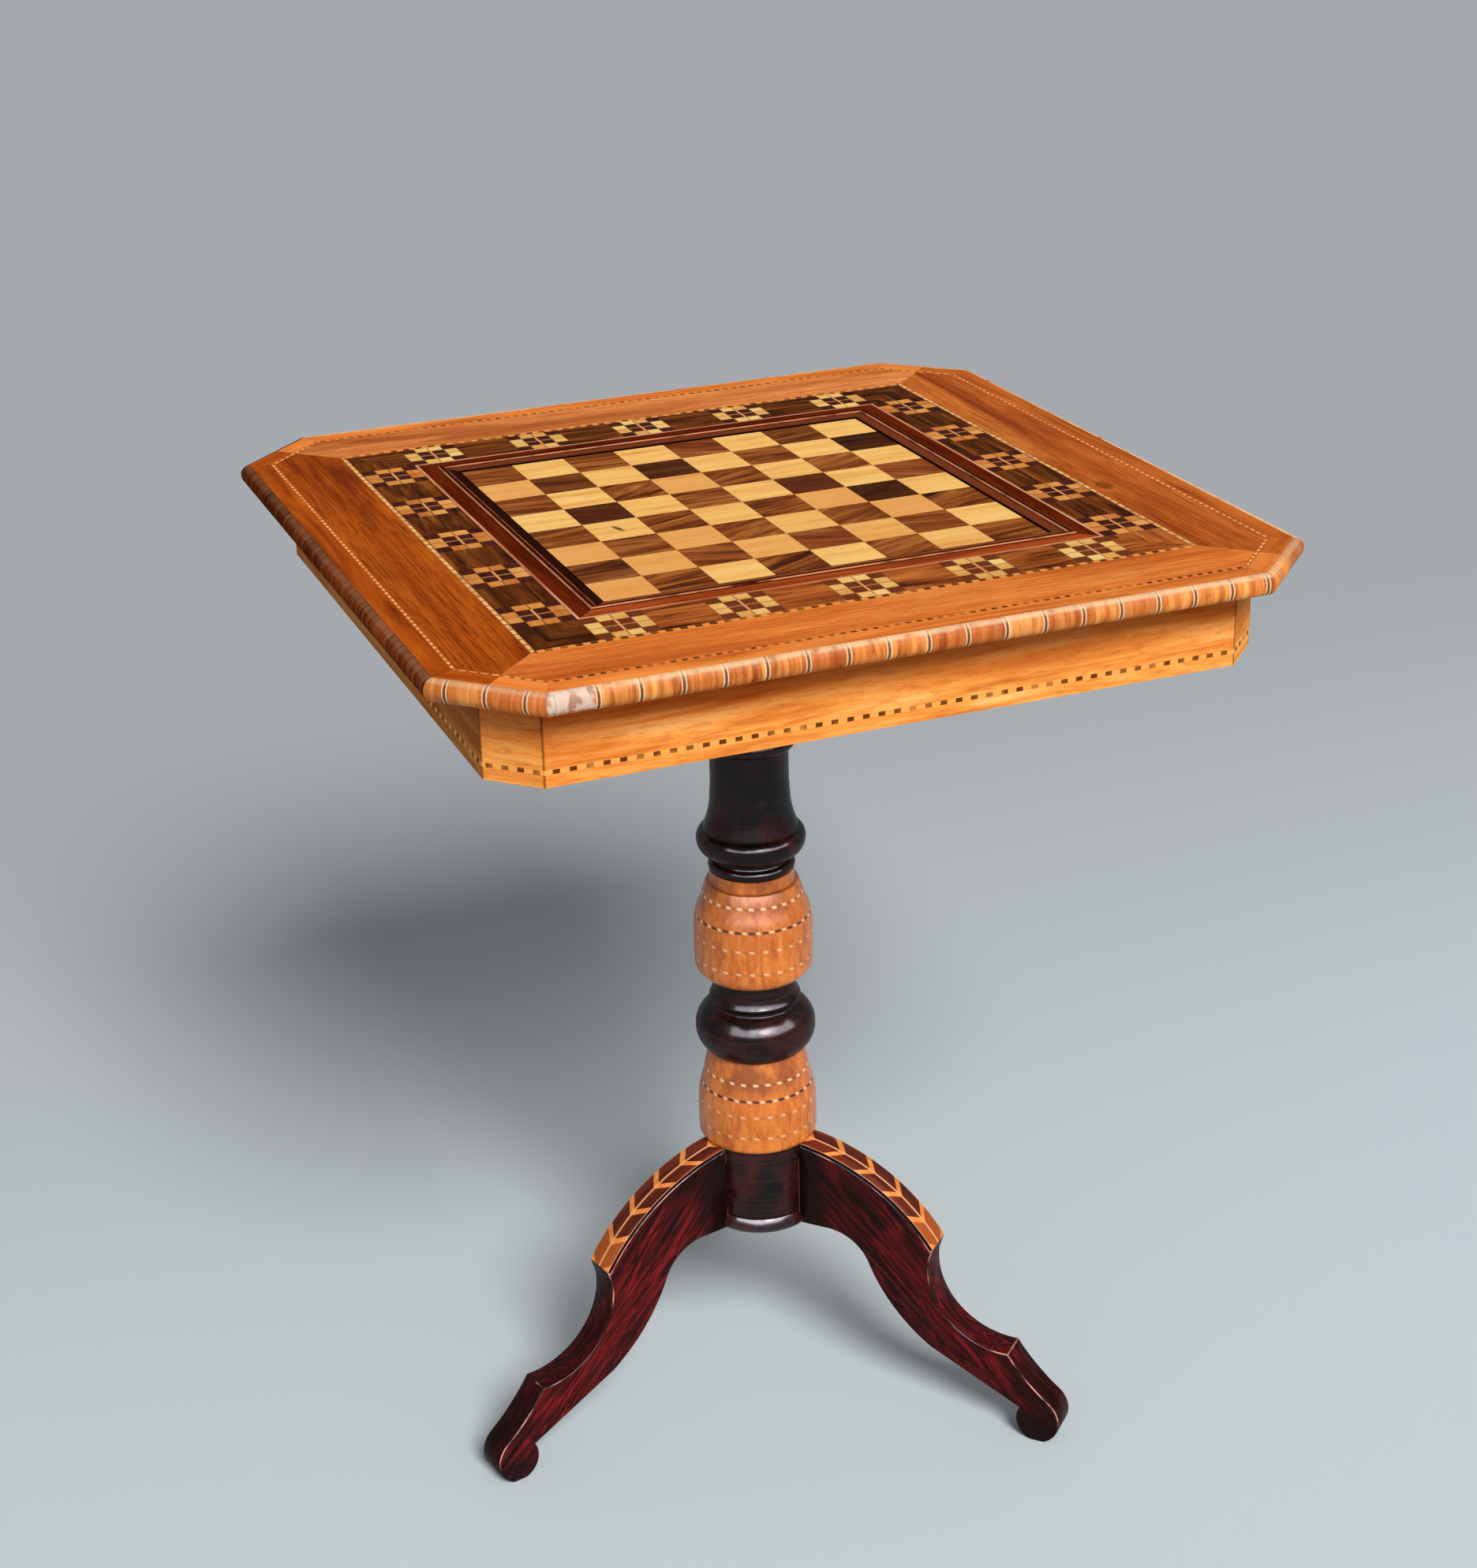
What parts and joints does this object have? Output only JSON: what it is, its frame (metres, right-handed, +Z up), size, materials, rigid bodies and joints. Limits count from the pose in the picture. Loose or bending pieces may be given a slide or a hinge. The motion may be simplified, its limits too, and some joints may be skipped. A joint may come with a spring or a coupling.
{
  "type": "chess table",
  "caption": "Square games table with an inlaid chess board and parquetry border, whose top turns on a turned pillar with scroll legs.",
  "frame": {"origin": "on the floor, on the axis of the pillar", "axes": "+Z up, +X and +Y along the sides of the square top, -Y towards the side seen at the front"},
  "size_m": [0.61, 0.61, 0.7335],
  "materials": {
    "leg_wood": "polished, near black with red grain",
    "knee_inlay": "polished inlay",
    "pale_turned_wood": "polished",
    "ebonised_wood": "black gloss polish",
    "ground_wood": "bare softwood",
    "frieze_veneer": "polished veneer",
    "string_inlay": "polished inlay",
    "border_veneer": "polished veneer",
    "light_inlay": "polished veneer",
    "dark_inlay": "polished veneer",
    "frame_wood": "polished",
    "edge_wood": "polished crossbanding"
  },
  "bodies": {
    "pedestal": {"leg_right": "leg_wood", "leg_rear": "leg_wood", "leg_left": "leg_wood", "knee_strip_right": "knee_inlay", "knee_strip_rear": "knee_inlay", "knee_strip_left": "knee_inlay", "pale_turnings": "pale_turned_wood", "black_turnings": "ebonised_wood", "swivel_key": "ground_wood"},
    "top": {"boss": "ground_wood", "bearer_left": "ground_wood", "bearer_right": "ground_wood", "glue_blocks": "ground_wood", "ground_panel": "ground_wood", "frieze_right": "frieze_veneer", "frieze_back": "frieze_veneer", "frieze_left": "frieze_veneer", "frieze_front": "frieze_veneer", "frieze_back_right": "frieze_veneer", "frieze_back_left": "frieze_veneer", "frieze_front_left": "frieze_veneer", "frieze_front_right": "frieze_veneer", "frieze_string": "string_inlay", "outer_string": "string_inlay", "inner_string": "string_inlay", "frame_string": "string_inlay", "border_right": "border_veneer", "border_back": "border_veneer", "border_left": "border_veneer", "border_front": "border_veneer", "margin": "border_veneer", "light_squares": "light_inlay", "rosette_light_tiles": "light_inlay", "dark_squares": "dark_inlay", "rosette_dark_tiles": "dark_inlay", "dark_blocks": "dark_inlay", "frame_right": "frame_wood", "frame_back": "frame_wood", "frame_left": "frame_wood", "frame_front": "frame_wood", "edge_band_right": "edge_wood", "edge_band_back": "edge_wood", "edge_band_left": "edge_wood", "edge_band_front": "edge_wood", "edge_band_back_right": "edge_wood", "edge_band_back_left": "edge_wood", "edge_band_front_left": "edge_wood", "edge_band_front_right": "edge_wood"}
  },
  "joints": [
    {"name": "top_turn", "type": "hinge", "parent": "pedestal", "child": "top", "pos_m": [0, 0, 0.66], "axis": [0, 0, 1], "continuous": true}
  ]
}
